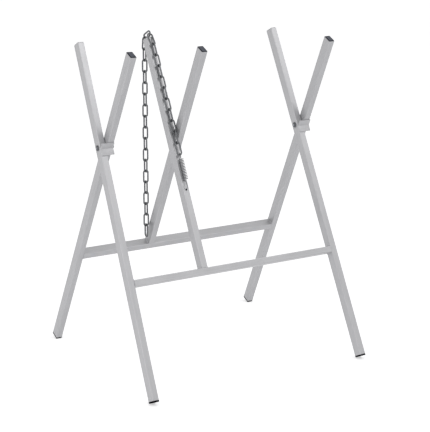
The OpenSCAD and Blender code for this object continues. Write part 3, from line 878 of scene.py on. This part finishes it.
def welded_link():
    """One link round the origin, Z along it, with its weld at +X, in edit mode."""
    bend = (LINK_W - CHAIN_WIRE) / 2
    half_straight = (LINK_IN + CHAIN_WIRE) / 2 - bend
    bpy.ops.object.select_all(action="DESELECT")
    bpy.ops.mesh.primitive_torus_add(major_segments=RING_STEPS, minor_segments=WIRE_SIDES,
                                     major_radius=bend, minor_radius=CHAIN_WIRE / 2,
                                     rotation=(math.radians(90.0), 0.0, 0.0))
    link = bpy.context.object
    bpy.ops.object.transform_apply(location=False, rotation=True, scale=False)
    bpy.ops.object.mode_set(mode="EDIT")
    bpy.ops.mesh.select_all(action="SELECT")
    bpy.ops.mesh.bisect(plane_co=(0.0, 0.0, 0.0), plane_no=(0.0, 0.0, 1.0), clear_inner=True)
    bpy.ops.mesh.select_all(action="SELECT")
    push(z=half_straight)
    # Both open ends are drawn down to the middle, closer together near the weld
    pick("edges", lambda place, way: abs(place.z - half_straight) < 1e-6 and abs(way.z) < 1e-3)
    level = half_straight
    for next_level in SIDE_LEVELS:
        draw_out(z=next_level - level)
        level = next_level
    # The burr is rough: a low lip with a sharper ridge at the joint
    for reach, share in BURR_STEPS:
        pick("verts", lambda place, way: place.x > 0.0 and place.z < reach)
        grown = 1.0 + share * BURR / (CHAIN_WIRE / 2)
        bpy.ops.transform.resize(value=(grown, grown, 1.0), center_override=(bend, 0.0, 0.0))
    bpy.ops.object.mode_set(mode="OBJECT")
    other_half = link.modifiers.new("other_half", "MIRROR")
    other_half.use_axis = (False, False, True)
    other_half.merge_threshold = 1e-5
    bpy.ops.object.modifier_apply(modifier="other_half")
    bpy.ops.object.mode_set(mode="EDIT")
    bpy.ops.mesh.select_all(action="SELECT")
    bpy.ops.mesh.normals_make_consistent(inside=False)
    return link


def link_pose(corners, turned):
    """A link's place from the corners of its CAD solid: Z down along it and X across it."""
    middle = (corners.min(0) + corners.max(0)) / 2
    ways = np.linalg.eigh(np.cov((corners - middle).T))[1]
    along, across = Vector(ways[:, 2]), Vector(ways[:, 1])
    if along.z > 0:
        along = -along
    if turned:
        across = -across
    axes = Matrix((across, along.cross(across), along)).transposed()
    return Matrix.Translation(middle) @ axes.to_4x4()


def drawn_wire(name, color, rough):
    """Dull zinc on drawn wire: darker in the pores and smoother where the links rub."""
    material, tree, steel = new_material(name)
    place = add_node(tree, "ShaderNodeTexCoord").outputs["Object"]
    stains = noise(tree, place, STAIN_WAVES, detail=5.0, rough=0.6)
    pores = noise(tree, place, PORE_WAVES, detail=3.0)
    tone = combined(tree, "ADD", spread(tree, stains, 0.82, 1.18),
                    ranged(tree, pores, 0.3, 0.6, -0.12, 0.06))
    tree.links.new(shaded(tree, color, tone), steel.inputs["Base Color"])
    tree.links.new(spread(tree, stains, *rough), steel.inputs["Roughness"])
    steel.inputs["Metallic"].default_value = CHAIN_METAL
    tree.links.new(bumped(tree, pores, strength=0.3, distance=0.00008), steel.inputs["Normal"])
    return material


chain_zinc = drawn_wire("chain_zinc", CHAIN_ZINC, CHAIN_ROUGH)
first_link = settle(welded_link(), "link_pattern", Matrix.Identity(4), smooth=60.0)
number = 0
for node, body in (("chain_run", "front_frame"), ("chain_tail", "chain_end")):
    for corners in sorted(solids(node), key=lambda c: tuple(c.mean(0)[1:].round(4))):
        number += 1
        # Two links in four have their weld on the other side
        link = copy_of(first_link, "chain_link_%02d" % number, link_pose(corners, number % 4 < 2))
        dress(link, body, "chain_steel", chain_zinc, node)
bpy.data.objects.remove(first_link)


# Tension spring
# A closed-wound extension spring of 2 mm wire, 17 mm across, a little drawn out by the chain. Its
# lower hook goes through the hole in the front post, and its upper hook holds the first link.
SPRING_WIRE = 0.002
SPRING_SIDES = 12
COIL_R = 0.0075
LOW_HOOK_R = 0.008
HIGH_HOOK_R = 0.006
SPRING_TURNS = 14
TURN_POINTS = 24
HOOK_POINTS = 16
LEAD_POINTS = 12
RUN_OFF = -0.0253
SPRING_ZINC = (0.132, 0.135, 0.143)
SPRING_ROUGH = (0.26, 0.38)

post_axes = tube_poses["front_post"]
spring_low, spring_high = box_in("tension_spring", post_axes)
# The CAD wire has six sides, so its box ends at a flat and not at a full radius
wire_flat = SPRING_WIRE / 2 * math.cos(math.radians(30.0))
low_z = spring_low.z + LOW_HOOK_R + wire_flat
high_z = spring_high.z - HIGH_HOOK_R - wire_flat
coil_low = low_z + 2 * COIL_R + 2 * SPRING_WIRE
coil_high = high_z - COIL_R - 1.5 * SPRING_WIRE


def hook_points(radius, level, up, middle_y):
    """Half a ring below or above a level, open towards it."""
    points = []
    for step in range(HOOK_POINTS + 1):
        angle = math.radians(180.0 * step / HOOK_POINTS)
        height = level + up * radius * math.sin(angle)
        points.append(Vector((0.0, middle_y - radius * math.cos(angle), height)))
    return points


def coil_points():
    """The spring's turns, from the lowest to the highest."""
    points = []
    steps = SPRING_TURNS * TURN_POINTS
    for step in range(steps + 1):
        angle = math.radians(90.0 + 360.0 * step / TURN_POINTS)
        height = coil_low + (coil_high - coil_low) * step / steps
        points.append(Vector((COIL_R * math.cos(angle), RUN_OFF + COIL_R * math.sin(angle), height)))
    return points


def lead_points(start, start_pull, end, end_pull):
    """A smooth lead between a hook's straight shank and the turns, without its two ends."""
    points = []
    for step in range(1, LEAD_POINTS):
        s = step / LEAD_POINTS
        points.append((2 * s ** 3 - 3 * s ** 2 + 1) * start + (s ** 3 - 2 * s ** 2 + s) * start_pull
                      + (3 * s ** 2 - 2 * s ** 3) * end + (s ** 3 - s ** 2) * end_pull)
    return points


def wire_mesh(name, points, radius):
    """A wire of that radius through the points, made a closed mesh, in object mode."""
    path = bpy.data.curves.new(name, "CURVE")
    path.dimensions = "3D"
    path.bevel_depth = radius
    path.bevel_resolution = SPRING_SIDES // 2 - 2
    path.use_fill_caps = True
    spline = path.splines.new("POLY")
    spline.points.add(len(points) - 1)
    for point, place in zip(spline.points, points):
        point.co = (*place, 1.0)
    wire = bpy.data.objects.new(name, path)
    bpy.context.scene.collection.objects.link(wire)
    activate(wire)
    bpy.ops.object.convert(target="MESH")
    return bpy.context.object


up_pull = Vector((0.0, 0.0, 2 * COIL_R))
turn_pull = Vector((-2 * COIL_R, 0.0, 0.0))
low_hook = hook_points(LOW_HOOK_R, low_z, -1, RUN_OFF + LOW_HOOK_R)[::-1]
high_hook = hook_points(HIGH_HOOK_R, high_z, 1, RUN_OFF)
turns = coil_points()
spring_path = ([low_hook[0] + Vector((0.0, 0.0, SPRING_WIRE))] + low_hook
               + lead_points(low_hook[-1], up_pull, turns[0], turn_pull) + turns
               + lead_points(turns[-1], turn_pull, high_hook[0], up_pull) + high_hook
               + [high_hook[-1] - Vector((0.0, 0.0, 2 * SPRING_WIRE))])
spring = wire_mesh("spring_wire", spring_path, SPRING_WIRE / 2)
bpy.ops.object.mode_set(mode="EDIT")
close_up()
settle(spring, "hold_down_spring", post_axes, smooth=60.0)
spring_steel = drawn_wire("spring_steel", SPRING_ZINC, SPRING_ROUGH)
dress(spring, "front_frame", "chain_steel", spring_steel, "tension_spring")


# Chain catch
# A 4 mm steel plate on the right face of the rear post, level while the frames are open. A link
# on edge goes into its open slot, and the flat link below it can't slide up through the slot.
CATCH_REACH = 0.026
CATCH_W = 0.025
CATCH_T = 0.004
CATCH_CORNER = 0.005
CATCH_EDGE = 0.0005
SLOT_W = 0.0065
SLOT_LEN = 0.017

catch_low, catch_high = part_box("chain_catch")
catch_seat = Matrix.Translation((catch_low.x, (catch_low.y + catch_high.y) / 2, catch_low.z))
catch = add_block(CATCH_REACH, CATCH_W, CATCH_T, (CATCH_REACH / 2, 0.0, CATCH_T / 2))
pick("edges", lambda place, way: abs(way.z) > 0.9 and place.x > CATCH_REACH / 2)
bpy.ops.mesh.bevel(offset=CATCH_CORNER, segments=10, affect="EDGES")
bpy.ops.object.mode_set(mode="OBJECT")
bpy.ops.object.select_all(action="DESELECT")
slot_end = CATCH_REACH - SLOT_LEN + SLOT_W / 2
bpy.ops.mesh.primitive_cylinder_add(vertices=40, radius=SLOT_W / 2, depth=3 * CATCH_T,
                                    location=(slot_end, 0.0, CATCH_T / 2))
slot_cutter = bpy.context.object
bpy.ops.object.transform_apply(location=True, rotation=False, scale=False)
bpy.ops.object.mode_set(mode="EDIT")
pick("verts", lambda place, way: place.x > slot_end + 1e-5)
push(x=SLOT_LEN)
bpy.ops.object.mode_set(mode="OBJECT")
cut_with(catch, slot_cutter, "DIFFERENCE")
round_edges(catch, CATCH_EDGE, sharper_than=40.0)
settle(catch, "chain_catch_plate", catch_seat)
catch_zinc = zinc_coat("catch_zinc", ZINC, ZINC_ROUGH, metal=ZINC_METAL, wear=0.06)
dress(catch, "rear_frame", "galvanised_steel", catch_zinc, "chain_catch")


# Welds
# Short fillet beads laid along the corners where rails, posts, brackets and catch meet their
# tubes. Each bead shows the overlapping ripples of its run, bulged along the welder's way.
WELD_R = 0.0026
BRACKET_WELD_R = 0.002
CATCH_WELD_R = 0.002
TUBE_R = 0.002
RIPPLE = 0.0015
RIPPLE_SHAPE = ((0.1, 0.90), (0.35, 0.99), (0.6, 1.0), (0.85, 0.93))
BEAD_END = ((0.55, 0.1), (0.85, 0.3))
CRESCENT_ANGLES = (50.0, 35.0, 20.0)
CRESCENT_PUSH = 0.14
WELD_ZINC = (0.46, 0.46, 0.475)
WELD_ROUGH = (0.38, 0.54)


def weld_bead(length, radius):
    """A rippled bead along Z round the origin, whose ripples bulge at +X, in edit mode."""
    ripples = max(int((length - radius) / RIPPLE), 3)
    pitch = (length - radius) / ripples
    start, end = -length / 2, length / 2
    profile = [(0.0, start)]
    profile += [(wide * radius, start + inward * radius) for wide, inward in BEAD_END]
    for ripple in range(ripples):
        base = start + radius / 2 + ripple * pitch
        profile += [(wide * radius, base + part * pitch) for part, wide in RIPPLE_SHAPE]
    profile += [(wide * radius, end - inward * radius) for wide, inward in reversed(BEAD_END)]
    profile += [(0.0, end)]
    bead = turned_piece(profile, steps=32)
    # The ripples lie as crescents: their middle runs ahead of their edges
    for half_width in CRESCENT_ANGLES:
        least = math.cos(math.radians(half_width))
        pick("verts", lambda place, way: place.xy.length > 0.8 * radius
             and place.x > least * place.xy.length and abs(place.z) < end - radius)
        push(z=CRESCENT_PUSH * radius)
    return bead


def bead_pose(axes, place, along, outward):
    """Z along the bead and X out of its corner, in the axes of a frame."""
    way_z = Vector(along).normalized()
    way_x = Vector(outward).normalized()
    turn = Matrix((way_x, way_z.cross(way_x), way_z)).transposed().to_4x4()
    return axes @ Matrix.Translation(place) @ turn


weld_zinc = zinc_coat("weld_zinc", WELD_ZINC, WELD_ROUGH, metal=ZINC_METAL, wear=0.18)
long_bead = weld_bead(TUBE_D - 2 * TUBE_R, WELD_R)
settle(long_bead, "long_bead_pattern", Matrix.Identity(4), smooth=50.0)
for name in ("front", "rear"):
    axes = frame_pose(name)
    rail_low, rail_high = box_in(name + "_rail", axes)
    lean = (rail_high.z - rail_low.z) * math.tan(SPLAY)
    post_x = (axes.inverted() @ tube_poses[name + "_post"]).translation.x
    corners = {
        "rail_left_upper": (rail_low.x + lean, rail_high.z, 1, 1),
        "rail_left_lower": (rail_low.x, rail_low.z, 1, -1),
        "rail_right_upper": (rail_high.x - lean, rail_high.z, -1, 1),
        "rail_right_lower": (rail_high.x, rail_low.z, -1, -1),
        "post_left": (post_x - TUBE_W / 2, rail_high.z, -1, 1),
        "post_right": (post_x + TUBE_W / 2, rail_high.z, 1, 1),
    }
    for place, (x, z, out_x, out_z) in corners.items():
        pose = bead_pose(axes, (x, 0.0, z), (0, 1, 0), (out_x, 0, out_z))
        bead = copy_of(long_bead, name + "_" + place + "_weld", pose)
        dress(bead, name + "_frame", "galvanised_steel", weld_zinc, name + "_welds")
bpy.data.objects.remove(long_bead)

bracket_bead = weld_bead(TUBE_W - 2 * TUBE_R, BRACKET_WELD_R)
settle(bracket_bead, "bracket_bead_pattern", Matrix.Identity(4), smooth=50.0)
axes = frame_pose("front")
for side in ("left", "right"):
    leg_x = (axes.inverted() @ tube_poses["front_" + side + "_leg"]).translation.x
    pose = bead_pose(axes, (leg_x, -TUBE_D / 2, -BRACKET_WING), (1, 0, 0), (0, -1, -1))
    bead = copy_of(bracket_bead, side + "_bracket_weld", pose)
    dress(bead, "front_frame", "galvanised_steel", weld_zinc, "bracket_welds")
bpy.data.objects.remove(bracket_bead)

catch_bead = weld_bead(CATCH_W - 2 * CATCH_CORNER, CATCH_WELD_R)
settle(catch_bead, "catch_bead_pattern", Matrix.Identity(4), smooth=50.0)
for level, z, out_z in (("lower", 0.0, -1), ("upper", CATCH_T, 1)):
    pose = bead_pose(catch_seat, (0.0, 0.0, z), (0, 1, 0), (1, 0, out_z))
    bead = copy_of(catch_bead, "catch_" + level + "_weld", pose)
    dress(bead, "rear_frame", "galvanised_steel", weld_zinc, "catch_welds")
bpy.data.objects.remove(catch_bead)
